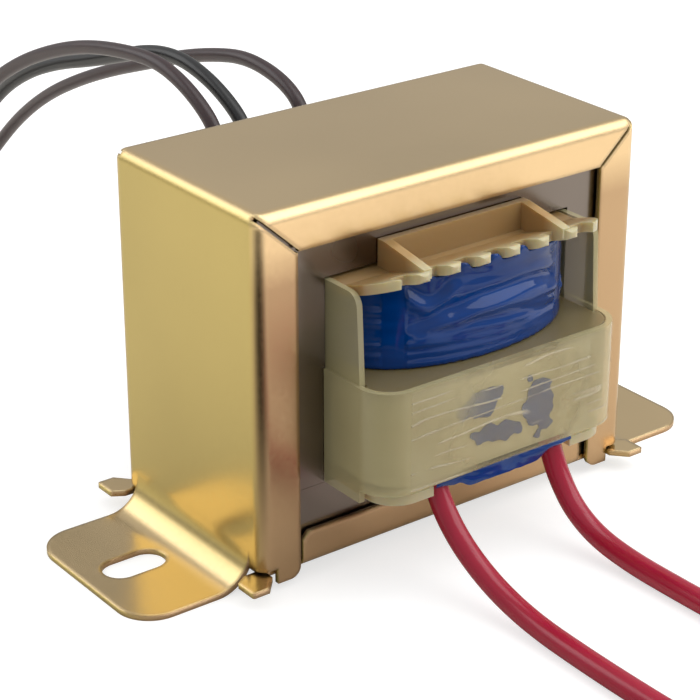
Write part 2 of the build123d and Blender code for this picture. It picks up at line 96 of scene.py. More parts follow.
core_steel, tree = new_material("cold_rolled_silicon_steel")
place = add_node(tree, "ShaderNodeTexCoord").outputs["Object"]
cloud = add_node(tree, "ShaderNodeTexNoise", {"Vector": place, "Scale": 45, "Detail": 2})
fine = add_node(tree, "ShaderNodeTexNoise", {"Vector": place, "Scale": 2500, "Detail": 2})
tint = add_node(
    tree,
    "ShaderNodeMix",
    {0: cloud.outputs[0], 6: colour("#8C837C"), 7: colour("#766C65")},
    data_type="RGBA",
)
gloss = add_node(tree, "ShaderNodeMapRange", {0: cloud.outputs[0], 1: 0.3, 2: 0.7, 3: 0.2, 4: 0.28})
grain = add_node(
    tree, "ShaderNodeBump", {"Height": fine.outputs[0], "Strength": 0.03, "Distance": 0.03 * mm}
)
shader = add_node(
    tree,
    "ShaderNodeBsdfPrincipled",
    {
        "Base Color": tint.outputs[2],
        "Metallic": 1.0,
        "Roughness": gloss.outputs[0],
        "Normal": grain.outputs[0],
    },
)
add_node(tree, "ShaderNodeOutputMaterial", {"Surface": shader.outputs[0]})
dress("e_laminations", core_steel)
dress("i_laminations", core_steel)


# Bobbin
# One moulding of natural nylon, cream and slightly translucent: a tube, two flanges, a divider, and
# on the top flange a comb with an upright wall and two gussets.
nylon, tree = new_material("moulded_natural_nylon")
place = add_node(tree, "ShaderNodeTexCoord").outputs["Object"]
cloud = add_node(tree, "ShaderNodeTexNoise", {"Vector": place, "Scale": 140, "Detail": 3})
speck = add_node(tree, "ShaderNodeTexNoise", {"Vector": place, "Scale": 2200, "Detail": 2})
pale = add_node(
    tree,
    "ShaderNodeMix",
    {0: cloud.outputs[0], 6: colour("#E6DDB8"), 7: colour("#D6CA9E")},
    data_type="RGBA",
)
# painted shade and a painted reflection of the bracket, set by place to match the photograph: pale at the
# fingers, browner inside, darkest at the divider
spot = add_node(tree, "ShaderNodeSeparateXYZ", {0: place})
reach = add_node(tree, "ShaderNodeMath", {0: spot.outputs[1]}, operation="ABSOLUTE")
outward = add_node(
    tree, "ShaderNodeMapRange", {0: reach.outputs[0], 1: 19.6 * mm, 2: 22.6 * mm, 3: 0.0, 4: 1.0}
)
divider_middle = 26.8 * mm
off_divider = add_node(
    tree, "ShaderNodeMath", {0: spot.outputs[2], 1: divider_middle}, operation="SUBTRACT"
)
away = add_node(tree, "ShaderNodeMath", {0: off_divider.outputs[0]}, operation="ABSOLUTE")
off_divider_share = add_node(
    tree, "ShaderNodeMapRange", {0: away.outputs[0], 1: 1.0 * mm, 2: 4.0 * mm, 3: 0.0, 4: 1.0}
)
finger_share = add_node(
    tree,
    "ShaderNodeMath",
    {0: outward.outputs[0], 1: off_divider_share.outputs[0]},
    operation="MULTIPLY",
)
# painted shade near the divider and a painted reflection of the bracket further up
painted_shade_and_reflection_tint = add_node(
    tree,
    "ShaderNodeMix",
    {0: off_divider_share.outputs[0], 6: colour("#948660"), 7: colour("#BC9A68")},
    data_type="RGBA",
)
tint = add_node(
    tree,
    "ShaderNodeMix",
    {0: finger_share.outputs[0], 6: painted_shade_and_reflection_tint.outputs[2], 7: pale.outputs[2]},
    data_type="RGBA",
)
relief = add_node(
    tree, "ShaderNodeBump", {"Height": speck.outputs[0], "Strength": 0.15, "Distance": 0.03 * mm}
)
shader = add_node(
    tree,
    "ShaderNodeBsdfPrincipled",
    {
        "Base Color": tint.outputs[2],
        "Roughness": 0.28,
        "IOR": 1.53,
        "Transmission Weight": 0.3,
        "Subsurface Weight": 0.6,
        "Subsurface Radius": (1.0, 0.75, 0.4),
        "Subsurface Scale": 1.5 * mm,
        "Normal": relief.outputs[0],
    },
)
add_node(tree, "ShaderNodeOutputMaterial", {"Surface": shader.outputs[0]})
dress("bobbin", nylon)


# Windings
# Enamelled copper wire round the bobbin, the mains winding below and the output winding above. Each
# is one solid ring, and a pattern stands for its turns.
copper, tree = new_material("enamelled_copper_wire")
place = add_node(tree, "ShaderNodeTexCoord").outputs["Object"]
# bands 2.2 mm apart, because a wave of scale 1 repeats every 0.314 m: far coarser than the wire
turns = add_node(
    tree,
    "ShaderNodeTexWave",
    {"Vector": place, "Scale": 1000 / 7, "Distortion": 0.3},
    bands_direction="Z",
)
# painted light and shade: dark between the turns and bright on each turn's crown
tint = add_node(
    tree,
    "ShaderNodeMix",
    {0: turns.outputs[1], 6: colour("#5A2A14"), 7: colour("#A85A2E")},
    data_type="RGBA",
)
relief = add_node(
    tree, "ShaderNodeBump", {"Height": turns.outputs[1], "Strength": 0.8, "Distance": 0.1 * mm}
)
shader = add_node(
    tree,
    "ShaderNodeBsdfPrincipled",
    {
        "Base Color": tint.outputs[2],
        "Metallic": 1.0,
        "Roughness": 0.3,
        "Coat Weight": 0.6,
        "Normal": relief.outputs[0],
    },
)
add_node(tree, "ShaderNodeOutputMaterial", {"Surface": shader.outputs[0]})
dress("primary_winding", copper)
dress("secondary_winding", copper)


# Lower tape
# Pale polyester tape round the mains winding, inside the shrouds. Its colour is a guess from what the
# photograph shows through the front one.
pale_film, tree = new_material("pale_polyester_winding_tape")
place = add_node(tree, "ShaderNodeTexCoord").outputs["Object"]
cloud = add_node(tree, "ShaderNodeTexNoise", {"Vector": place, "Scale": 150, "Detail": 3})
tint = add_node(
    tree,
    "ShaderNodeMix",
    {0: cloud.outputs[0], 6: colour("#E6DAAC"), 7: colour("#CDBF8C")},
    data_type="RGBA",
)
relief = add_node(
    tree, "ShaderNodeBump", {"Height": cloud.outputs[0], "Strength": 0.5, "Distance": 0.4 * mm}
)
shader = add_node(
    tree,
    "ShaderNodeBsdfPrincipled",
    {"Base Color": tint.outputs[2], "Roughness": 0.3, "Normal": relief.outputs[0]},
)
add_node(tree, "ShaderNodeOutputMaterial", {"Surface": shader.outputs[0]})
dress("primary_tape", pale_film)

# Splice sleeves
# Short lengths of white fibre sleeve over the joints between winding wire and leads.
sleeve, tree = new_material("white_fibre_sleeve")
place = add_node(tree, "ShaderNodeTexCoord").outputs["Object"]
weave = add_node(
    tree,
    "ShaderNodeTexWave",
    {"Vector": place, "Scale": 120, "Distortion": 1.0},
    bands_direction="DIAGONAL",
)
relief = add_node(
    tree, "ShaderNodeBump", {"Height": weave.outputs[1], "Strength": 0.4, "Distance": 0.1 * mm}
)
tint = add_node(
    tree,
    "ShaderNodeMix",
    {0: weave.outputs[1], 6: colour("#C9C2AE"), 7: colour("#E6E0CE")},
    data_type="RGBA",
)
shader = add_node(
    tree,
    "ShaderNodeBsdfPrincipled",
    {"Base Color": tint.outputs[2], "Roughness": 0.7, "Normal": relief.outputs[0]},
)
add_node(tree, "ShaderNodeOutputMaterial", {"Surface": shader.outputs[0]})
dress("primary_splices", sleeve)
dress("secondary_splices", sleeve)

# Upper tape
# Glossy blue polyester tape round the output winding. It is half an ellipse in front, with folds laid
# out after the photograph's, and squarer behind, where it is a guess.
def deselect():
    """Leaves nothing selected, so that an operator acts only on what comes next."""
    bpy.ops.object.select_all(action="DESELECT")


def settle(piece):
    """Moves a piece's place, turn and scale into its mesh."""
    deselect()
    piece.select_set(True)
    bpy.context.view_layer.objects.active = piece
    bpy.ops.object.transform_apply(location=True, rotation=True, scale=True)


def pick(piece, part, wanted):
    """Goes into edit mode with only those of a piece's edges or polygons selected that pass a test."""
    deselect()
    piece.select_set(True)
    bpy.context.view_layer.objects.active = piece
    bpy.ops.object.mode_set(mode="EDIT")
    bpy.ops.mesh.select_mode(type="EDGE" if part == "edges" else "FACE")
    bpy.ops.mesh.select_all(action="DESELECT")
    bpy.ops.object.mode_set(mode="OBJECT")
    for item in getattr(piece.data, part):
        item.select = wanted(item)
    bpy.ops.object.mode_set(mode="EDIT")


def modify(piece, kind, **settings):
    """Adds a modifier and applies it."""
    bpy.context.view_layer.objects.active = piece
    modifier = piece.modifiers.new(kind.lower(), kind)
    for name, value in settings.items():
        setattr(modifier, name, value)
    bpy.ops.object.modifier_apply(modifier=modifier.name)


def rounded_block(half_x, y0, y1, z0, z1, corner, wanted):
    """A block whose upright edges are rounded where their middle passes a test."""
    deselect()
    bpy.ops.mesh.primitive_cube_add(
        size=1, location=(0, (y0 + y1) / 2, (z0 + z1) / 2), scale=(2 * half_x, y1 - y0, z1 - z0)
    )
    block = bpy.context.object
    settle(block)
    spots = [v.co.copy() for v in block.data.vertices]

    def upright(edge):
        a, b = (spots[i] for i in edge.vertices)
        return abs(a.z - b.z) > 0.5 * (z1 - z0) and wanted((a + b) / 2)

    pick(block, "edges", upright)
    bpy.ops.mesh.bevel(offset=corner, segments=14, affect="EDGES")
    bpy.ops.object.mode_set(mode="OBJECT")
    return block


def along(points, s):
    """The height of a line through points at one place along it, or None past its ends."""
    for (s0, z0), (s1, z1) in zip(points, points[1:]):
        if s0 <= s <= s1:
            part = (s - s0) / (s1 - s0)
            part = part * part * (3 - 2 * part)
            return z0 + (z1 - z0) * part
    return None


def fold_height(folds, s, z):
    """How far the folds push the tape out, in mm: out below each line, in above it, less at its ends."""
    total = 0.0
    for points, width, height in folds:
        line = along(points, s)
        if line is None:
            continue
        ends = min(s - points[0][0], points[-1][0] - s) / (0.2 * (points[-1][0] - points[0][0]))
        fade = min(1.0, ends)
        d = (z - line) / width
        total -= height * fade * d * exp(-d * d / 2)
    return total


wrap_low, wrap_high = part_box("secondary_tape")
winding_low, winding_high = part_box("secondary_winding")
wrap_top = winding_high[2]
half_width = wrap_high[0]
core_face = 14.25 * mm
wrap_middle = (wrap_low[2] + wrap_top) / 2
deselect()
bpy.ops.mesh.primitive_cylinder_add(
    vertices=160, radius=half_width, depth=wrap_top - wrap_low[2], location=(0, -core_face, wrap_middle)
)
wrap = bpy.context.object
wrap.name = "upper_tape_wrap"
bpy.ops.object.mode_set(mode="EDIT")
bpy.ops.transform.resize(
    value=(1, (-wrap_low[1] - core_face) / half_width, 1), center_override=(0, -core_face, wrap_middle)
)
bpy.ops.object.mode_set(mode="OBJECT")
settle(wrap)
rear = rounded_block(
    half_width, -core_face, wrap_high[1], wrap_low[2], wrap_top, 8.4 * mm, lambda spot: spot.y > 0
)
room = 0.05 * mm
hollow = rounded_block(
    winding_high[0] + room, winding_low[1] - room, winding_high[1] + room,
    wrap_low[2] - mm, wrap_top + mm, 7.05 * mm, lambda spot: True,
)
modify(wrap, "BOOLEAN", operation="UNION", object=rear)
modify(wrap, "BOOLEAN", operation="DIFFERENCE", object=hollow)
bpy.data.objects.remove(rear)
bpy.data.objects.remove(hollow)
modify(wrap, "REMESH", mode="VOXEL", voxel_size=0.26 * mm, use_smooth_shade=True)

# folds as (distance round the girth, height) points, width and depth, all in mm
girth = 13.2
wrap_folds = [
    (
        [(-13.5, 31.8), (-9.5, 32.7), (-5.4, 33.7), (-1.0, 34.6), (4.0, 34.8), (10.7, 33.7), (17.0, 32.0)],
        0.9,
        0.85,
    ),
    ([(-13.0, 31.1), (-7.0, 31.6), (-3.0, 31.9), (2.0, 31.5), (8.0, 30.4)], 0.55, 0.42),
    ([(-12.5, 38.6), (-7.6, 35.9), (-4.0, 38.0)], 0.85, 0.7),
    ([(-5.5, 37.2), (3.0, 37.0), (15.0, 35.4)], 0.65, 0.36),
    ([(-19.0, 35.2), (-13.0, 35.4), (-8.0, 36.0)], 0.5, 0.16),
    ([(-19.0, 33.6), (-13.0, 33.8), (-8.5, 34.3)], 0.4, 0.2),
    ([(-19.0, 30.6), (-12.0, 30.8), (-5.0, 30.7), (6.0, 30.0), (16.0, 29.0)], 0.4, 0.22),
    ([(-18.0, 29.4), (-8.0, 29.7), (2.0, 29.3), (14.0, 28.6)], 0.4, 0.2),
    ([(1.5, 33.4), (8.0, 33.0), (17.0, 31.0)], 0.45, 0.25),
    ([(-1.5, 32.6), (6.0, 32.2), (15.0, 30.4)], 0.35, 0.18),
    ([(-16.0, 28.4), (-4.0, 28.5), (9.0, 28.2)], 0.3, 0.12),
]
bulge = (-wrap_low[1] - core_face) / half_width
comb_start, comb_slope = 16.6, 2.4 / 7.2
# the tape's top rises a little in the comb's slots, to match the photograph
finger_pitch, last_slot = 4.6, 11.5
slot_start, slot_half, slot_swell, swell_from = 21.4, 0.95, 0.95, 0.86
hole_half_x, hole_half_y = 14.2, 20.4
ways = [vertex.normal.copy() for vertex in wrap.data.vertices]
for vertex, way in zip(wrap.data.vertices, ways):
    x, y, z = vertex.co / mm
    above = max(0.0, abs(y) - comb_start) * comb_slope
    part_up = (z - wrap_low[2] / mm) / ((wrap_top - wrap_low[2]) / mm)
    z += above * part_up
    aside = abs(x - finger_pitch * round(x / finger_pitch))
    if part_up > swell_from and y < -slot_start and aside < slot_half and abs(x) < last_slot:
        swell = (part_up - swell_from) / (1 - swell_from) * (1 - (aside / slot_half) ** 2)
        z += slot_swell * swell * min(1.0, (-slot_start - y) / 0.5)
    inside = abs(x) < hole_half_x and abs(y) < hole_half_y
    push = 0.0
    if not inside and abs(way.z) < 0.8:
        if y < 0:
            s = girth * atan2(x, -(y + core_face / mm) / bulge)
            push = fold_height(wrap_folds, s, z)
        else:
            # behind, the place only feeds the noise
            s = 60 + x if y > 15 else 30 + y
        push += 0.2 * noise.noise(Vector((s * 0.09, z * 0.55, 3.0)))
        push += 0.06 * noise.noise(Vector((s * 0.3, z * 1.1, 11.0)))
        push *= 1 - abs(way.z)
    vertex.co = Vector((x, y, z)) * mm + way * push * mm
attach(wrap, "root")
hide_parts("secondary_tape")

blue_film, tree = new_material("blue_polyester_tape")
place = add_node(tree, "ShaderNodeTexCoord").outputs["Object"]
flat = add_node(tree, "ShaderNodeMapping", {"Vector": place, "Scale": (0.16, 0.16, 1)}).outputs[0]
ripple = add_node(
    tree, "ShaderNodeTexNoise", {"Vector": flat, "Scale": 1500, "Detail": 2, "Distortion": 0.4}
)
cloud = add_node(tree, "ShaderNodeTexNoise", {"Vector": flat, "Scale": 300, "Detail": 3})
tint = add_node(
    tree,
    "ShaderNodeMix",
    {0: cloud.outputs[0], 6: colour("#001448"), 7: colour("#004A9E")},
    data_type="RGBA",
)
relief = add_node(
    tree, "ShaderNodeBump", {"Height": ripple.outputs[0], "Strength": 0.05, "Distance": 0.08 * mm}
)
shader = add_node(
    tree,
    "ShaderNodeBsdfPrincipled",
    {
        "Base Color": tint.outputs[2],
        "Roughness": 0.06,
        "IOR": 1.4,
        "Normal": relief.outputs[0],
    },
)
add_node(tree, "ShaderNodeOutputMaterial", {"Surface": shader.outputs[0]})
wrap.data.materials.append(blue_film)


# Blue tape ends
# Three plain scraps of tape behind the front shroud's wall, in place of the bluish marks that the
# photograph shows there. What those marks are is a guess, and the scraps' tint is painted light: a lighter
# blue than the wrap's, so that they show through the shroud's haze.
def film_sheet(name, x0, x1, z0, z1, y, columns, rows):
    """A flat upright grid of fine faces between two corners, facing the front."""
    deselect()
    bpy.ops.mesh.primitive_grid_add(
        x_subdivisions=columns,
        y_subdivisions=rows,
        size=1,
        location=((x0 + x1) / 2 * mm, y * mm, (z0 + z1) / 2 * mm),
        rotation=(radians(90), 0, 0),
    )
    sheet = bpy.context.object
    sheet.name = name
    sheet.scale = ((x1 - x0) * mm, (z1 - z0) * mm, 1)
    settle(sheet)
    return sheet


# middle across, middle up, half length, half height and slant of each scrap, in mm
scraps = [
    (-3.4, 22.0, 3.6, 1.7, 10),
    (5.9, 19.3, 2.3, 3.9, 14),
    (-0.6, 17.6, 4.4, 1.2, -6),
]
scraps_y = -24.77
patches = film_sheet("under_shroud_tape", -8.5, 10.5, 14.6, 25.6, scraps_y, 150, 90)


def off_scraps(face):
    x, z = face.center.x / mm, face.center.z / mm
    ragged = 0.5 * noise.noise(Vector((x * 0.7, z * 0.7, 5.0)))
    for middle_x, middle_z, half_x, half_z, slant in scraps:
        turn = radians(slant)
        dx, dz = x - middle_x, z - middle_z
        u = (dx * cos(turn) + dz * sin(turn)) / half_x
        v = (dz * cos(turn) - dx * sin(turn)) / half_z
        if hypot(u, v) + ragged < 1.0:
            return False
    return True


pick(patches, "polygons", off_scraps)
bpy.ops.mesh.delete(type="FACE")
bpy.ops.object.mode_set(mode="OBJECT")
modify(patches, "SOLIDIFY", thickness=0.06 * mm, offset=0)
# painted light: the scraps are tinted lighter than the blue wrap, so that they show through the shroud's
# haze
lightened_film, tree = new_material("lightened_blue_polyester_tape")
place = add_node(tree, "ShaderNodeTexCoord").outputs["Object"]
cloud = add_node(tree, "ShaderNodeTexNoise", {"Vector": place, "Scale": 420, "Detail": 3})
tint = add_node(
    tree,
    "ShaderNodeMix",
    {0: cloud.outputs[0], 6: colour("#0E2F66"), 7: colour("#2C5CA8")},
    data_type="RGBA",
)
shader = add_node(tree, "ShaderNodeBsdfPrincipled", {"Base Color": tint.outputs[2], "Roughness": 0.35})
add_node(tree, "ShaderNodeOutputMaterial", {"Surface": shader.outputs[0]})
patches.data.materials.append(lightened_film)
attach(patches, "root")

# Exit tape
# A strip of the blue tape at the foot of the front shroud, where the mains leads come out. It is
# softly crumpled, deepest between them and shallower at each.
strip_low, strip_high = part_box("lead_exit_tape")
strip_edge = [(-10.8, 0.8), (-7.4, 1.2), (-5.0, 2.1), (5.4, 2.2), (7.6, 1.2), (10.8, 0.9)]
strip_y = -25.46
strip_left, strip_right = strip_low[0] / mm, strip_high[0] / mm
strip_foot, strip_top = strip_low[2] / mm, strip_high[2] / mm
strip = film_sheet("exit_tape_strip", strip_left, strip_right, strip_foot, strip_top, strip_y, 130, 16)
for vertex in strip.data.vertices:
    x, y, z = vertex.co / mm
    down = (strip_top - z) / (strip_top - strip_foot)
    depth = along(strip_edge, min(max(x, -10.8), 10.8)) - 0.15
    crumple = 0.2 * noise.noise(Vector((x * 0.14, down * 1.4, 2.0)))
    crumple += 0.05 * noise.noise(Vector((x * 0.5, down * 2.4, 7.0)))
    crumple += 0.16 * sin(pi * down) - 0.2 * down
    torn = 0.1 * noise.noise(Vector((x * 0.8, 0, 4)))
    vertex.co = Vector((x, y - crumple, strip_top - down * depth + torn)) * mm
modify(strip, "SOLIDIFY", thickness=0.07 * mm, offset=0)
bpy.ops.object.shade_smooth_by_angle(angle=radians(50))
strip.data.materials.append(blue_film)
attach(strip, "root")
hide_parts("lead_exit_tape")

# Shrouds
# Two thin translucent covers that slide over the bobbin from the front and the rear: a cup round
# the mains winding and two side plates in the core's windows.
milky, tree = new_material("translucent_polycarbonate_sheet")
place = add_node(tree, "ShaderNodeTexCoord").outputs["Object"]
cloud = add_node(tree, "ShaderNodeTexNoise", {"Vector": place, "Scale": 90, "Detail": 2})
fine = add_node(tree, "ShaderNodeTexNoise", {"Vector": place, "Scale": 1400, "Detail": 2})
tint = add_node(
    tree,
    "ShaderNodeMix",
    {0: cloud.outputs[0], 6: colour("#D0C79C"), 7: colour("#B8AE82")},
    data_type="RGBA",
)
relief = add_node(
    tree, "ShaderNodeBump", {"Height": fine.outputs[0], "Strength": 0.06, "Distance": 0.05 * mm}
)
# The haze is on the faces turned to the viewer, and those turned away have almost none, so that a
# wall's two faces don't count twice. It is thinner round one spot in front, to match the photograph.
behind = add_node(tree, "ShaderNodeNewGeometry").outputs["Backfacing"]
clearer_middle = (1.5 * mm, -25.3 * mm, 19.5 * mm)
from_middle = add_node(
    tree, "ShaderNodeVectorMath", {0: place, 1: clearer_middle}, operation="DISTANCE"
)
uneven = add_node(tree, "ShaderNodeTexNoise", {"Vector": place, "Scale": 260, "Detail": 2})
sway = add_node(tree, "ShaderNodeMapRange", {0: uneven.outputs[0], 1: 0.3, 2: 0.7, 3: -2 * mm, 4: 2 * mm})
distance = add_node(
    tree, "ShaderNodeMath", {0: from_middle.outputs["Value"], 1: sway.outputs[0]}, operation="ADD"
)
cloudy = add_node(
    tree,
    "ShaderNodeMapRange",
    {0: distance.outputs[0], 1: 6 * mm, 2: 13 * mm, 3: 0.25, 4: 0.66},
    interpolation_type="SMOOTHSTEP",
)
haze = add_node(tree, "ShaderNodeMapRange", {0: behind, 1: 0.0, 2: 1.0, 3: cloudy.outputs[0], 4: 0.03})
shader = add_node(
    tree,
    "ShaderNodeBsdfPrincipled",
    {
        "Base Color": tint.outputs[2],
        "Roughness": 0.24,
        "IOR": 1.5,
        "Alpha": haze.outputs[0],
        "Normal": relief.outputs[0],
    },
)
add_node(tree, "ShaderNodeOutputMaterial", {"Surface": shader.outputs[0]})
dress("shroud_front", milky)
dress("shroud_rear", milky)

# Clear tape
# One strip of clear polyester tape over the front shroud, round its right corner. Its long thin
# creases are drawn by its material.
clear_film, tree = new_material("clear_polyester_tape")
place = add_node(tree, "ShaderNodeTexCoord").outputs["Object"]
slant = add_node(
    tree, "ShaderNodeMapping", {"Vector": place, "Rotation": (0, radians(4), 0), "Scale": (0.16, 0.16, 1)}
).outputs[0]
# one crease about every 1.7 mm, each wandering a little
field = add_node(
    tree,
    "ShaderNodeTexWave",
    {
        "Vector": slant,
        "Scale": 185,
        "Distortion": 7.0,
        "Detail": 1.5,
        "Detail Scale": 1.6,
        "Detail Roughness": 0.5,
    },
    bands_direction="Z",
)
crease = add_node(tree, "ShaderNodeMapRange", {0: field.outputs[1], 1: 0.955, 2: 0.995, 3: 0.0, 4: 1.0})
spots = add_node(tree, "ShaderNodeTexNoise", {"Vector": place, "Scale": 170, "Detail": 1})
broken = add_node(tree, "ShaderNodeMapRange", {0: spots.outputs[0], 1: 0.47, 2: 0.56, 3: 0.0, 4: 1.0})
line = add_node(tree, "ShaderNodeMath", {0: crease.outputs[0], 1: broken.outputs[0]}, operation="MULTIPLY")
cover = add_node(tree, "ShaderNodeMapRange", {0: line.outputs[0], 1: 0.0, 2: 1.0, 3: 0.05, 4: 0.42})
relief = add_node(
    tree, "ShaderNodeBump", {"Height": line.outputs[0], "Strength": 0.6, "Distance": 0.15 * mm}
)
skin = add_node(
    tree,
    "ShaderNodeBsdfPrincipled",
    {
        "Base Color": colour("#E2D9BC"),
        "Roughness": 0.1,
        "IOR": 1.6,
        "Alpha": cover.outputs[0],
        "Normal": relief.outputs[0],
    },
)
add_node(tree, "ShaderNodeOutputMaterial", {"Surface": skin.outputs[0]})
dress("shroud_tape", clear_film)

# Base plate and bracket
# Sheet steel, stamped and folded, then zinc plated and passivated to a soft yellow gloss. Its tint is
# painted light and shade, given for each way that a face looks: olive on the sides, pinker on the lips and
# paler on the top, standing in for what each face reflects, and a painted highlight makes it lighter high
# on the lips. The base plate's ears stand out through corner notches.
zinc, tree = new_material("yellow_passivated_zinc_plate")
place = add_node(tree, "ShaderNodeTexCoord").outputs["Object"]
facing = add_node(tree, "ShaderNodeNewGeometry").outputs["Normal"]
parts = add_node(tree, "ShaderNodeSeparateXYZ", {0: facing})
front = add_node(tree, "ShaderNodeMath", {0: parts.outputs[1]}, operation="ABSOLUTE")
up = add_node(tree, "ShaderNodeMapRange", {0: parts.outputs[2], 1: 0.3, 2: 0.95, 3: 0.0, 4: 1.0})
drift = add_node(tree, "ShaderNodeTexNoise", {"Vector": place, "Scale": 28, "Detail": 2})
grain = add_node(tree, "ShaderNodeTexNoise", {"Vector": place, "Scale": 1800, "Detail": 3})
# painted highlight: the lips are lighter high up, where the top bend's sheen spreads
high_up = add_node(tree, "ShaderNodeSeparateXYZ", {0: place}).outputs[2]
on_top_lip = add_node(tree, "ShaderNodeMapRange", {0: high_up, 1: 40 * mm, 2: 45 * mm, 3: 0.0, 4: 1.0})
painted_lip_light = add_node(
    tree,
    "ShaderNodeMix",
    {0: on_top_lip.outputs[0], 6: colour("#C9A882"), 7: colour("#F7D6A6")},
    data_type="RGBA",
)
# painted light and shade by the way a face looks: olive sides, pinker lips, paler top
painted_facing_tint = add_node(
    tree,
    "ShaderNodeMix",
    {0: front.outputs[0], 6: colour("#C6B16E"), 7: painted_lip_light.outputs[2]},
    data_type="RGBA",
)
painted_facing_and_top_tint = add_node(
    tree, "ShaderNodeMix", {0: up.outputs[0], 6: painted_facing_tint.outputs[2], 7: colour("#DCC294")}, data_type="RGBA"
)
darker = add_node(tree, "ShaderNodeMapRange", {0: drift.outputs[0], 1: 0.3, 2: 0.7, 3: 0.88, 4: 1.0})
tint = add_node(
    tree,
    "ShaderNodeMix",
    {0: 1.0, 6: painted_facing_and_top_tint.outputs[2], 7: darker.outputs[0]},
    data_type="RGBA",
    blend_type="MULTIPLY",
)
gloss = add_node(tree, "ShaderNodeMapRange", {0: grain.outputs[0], 1: 0.3, 2: 0.7, 3: 0.2, 4: 0.27})
# normals averaged over 0.8 mm, so that each bend shades wider than it is, to match the photograph
rounded = add_node(tree, "ShaderNodeBevel", {"Radius": 0.8 * mm})
relief = add_node(
    tree,
    "ShaderNodeBump",
    {"Height": grain.outputs[0], "Strength": 0.03, "Distance": 0.03 * mm, "Normal": rounded.outputs[0]},
)
shader = add_node(
    tree,
    "ShaderNodeBsdfPrincipled",
    {
        "Base Color": tint.outputs[2],
        "Metallic": 1.0,
        "Roughness": gloss.outputs[0],
        "Normal": relief.outputs[0],
    },
)
add_node(tree, "ShaderNodeOutputMaterial", {"Surface": shader.outputs[0]})
dress("bracket", zinc)
dress("base_plate", zinc)


# Mains leads
# Two single-core leads with thick crimson PVC insulation. They leave the bobbin under the front
# shroud, bend down to the floor and end in a loose loop each, with bare tinned tips. The loops and
# tips are guessed, because the photograph ends before them.
def loop(start, side, radius, shrink, turns, count):
    """Points of a flat loop that starts along -Y and closes in slowly, round a centre at one side."""
    points = []
    for i in range(round(turns * count) + 1):
        spin = side * 2 * pi * i / count
        reach = radius - shrink * i / count
        points.append(
            (
                start[0] + side * (radius - reach * cos(spin)),
                start[1] - side * reach * sin(spin),
                start[2],
            )
        )
    return points


def insulation(name, hex_code, light_hex, gloss):
    """Extruded PVC, smooth and shiny, with two near tints mixed by a soft noise."""
    material, tree = new_material(name)
    place = add_node(tree, "ShaderNodeTexCoord").outputs["Object"]
    cloud = add_node(tree, "ShaderNodeTexNoise", {"Vector": place, "Scale": 200, "Detail": 2})
    fine = add_node(tree, "ShaderNodeTexNoise", {"Vector": place, "Scale": 1500, "Detail": 2})
    tint = add_node(
        tree,
        "ShaderNodeMix",
        {0: cloud.outputs[0], 6: colour(hex_code), 7: colour(light_hex)},
        data_type="RGBA",
    )
    relief = add_node(
        tree, "ShaderNodeBump", {"Height": fine.outputs[0], "Strength": 0.08, "Distance": 0.05 * mm}
    )
    shader = add_node(
        tree,
        "ShaderNodeBsdfPrincipled",
        {
            "Base Color": tint.outputs[2],
            "Roughness": gloss,
            "IOR": 1.53,
            "Subsurface Weight": 0.1,
            "Subsurface Scale": 0.5 * mm,
            "Normal": relief.outputs[0],
        },
    )
    add_node(tree, "ShaderNodeOutputMaterial", {"Surface": shader.outputs[0]})
    return material


def tinned_end(name, node, tip, heading, diameter):
    """A twisted rod of six lobes, as of solder-dipped strands, straight on from a lead's last point."""
    length, lay, lobes, groove = 5.0 * mm, 4.5 * mm, 6, 0.09
    deselect()
    bpy.ops.mesh.primitive_cylinder_add(vertices=8 * lobes, radius=diameter / 2 * mm, depth=length)
    end = bpy.context.object
    end.name = name
    for _ in range(5):
        spots = [v.co.copy() for v in end.data.vertices]
        pick(end, "edges", lambda edge: abs(spots[edge.vertices[0]].z - spots[edge.vertices[1]].z) > 1e-5)
        bpy.ops.mesh.subdivide(number_cuts=1)
        bpy.ops.object.mode_set(mode="OBJECT")
    for vertex in end.data.vertices:
        x, y, z = vertex.co
        turn = atan2(y, x) + 2 * pi * z / lay
        reach = hypot(x, y) * (1 - groove * (1 - cos(lobes * atan2(y, x))))
        tip_part = max(0.0, z / length + 0.5 - 0.9) / 0.1
        reach *= 1 - 0.35 * tip_part**2
        vertex.co = (reach * cos(turn), reach * sin(turn), z)
    end.rotation_euler = Vector(heading).to_track_quat("Z", "Y").to_euler()
    end.location = Vector(tip) * mm + Vector(heading).normalized() * length / 2
    settle(end)
    bpy.ops.object.shade_smooth_by_angle(angle=radians(50))
    end.data.materials.append(solder)
    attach(end, "root")
    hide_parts(node)
    return end


solder, tree = new_material("solder_tinned_strands")
place = add_node(tree, "ShaderNodeTexCoord").outputs["Object"]
cloud = add_node(tree, "ShaderNodeTexNoise", {"Vector": place, "Scale": 900, "Detail": 2})
tint = add_node(
    tree,
    "ShaderNodeMix",
    {0: cloud.outputs[0], 6: colour("#B9B8B2"), 7: colour("#D6D5D0")},
    data_type="RGBA",
)
gloss = add_node(tree, "ShaderNodeMapRange", {0: cloud.outputs[0], 1: 0.3, 2: 0.7, 3: 0.22, 4: 0.4})
shader = add_node(
    tree,
    "ShaderNodeBsdfPrincipled",
    {"Base Color": tint.outputs[2], "Metallic": 1.0, "Roughness": gloss.outputs[0]},
)
add_node(tree, "ShaderNodeOutputMaterial", {"Surface": shader.outputs[0]})


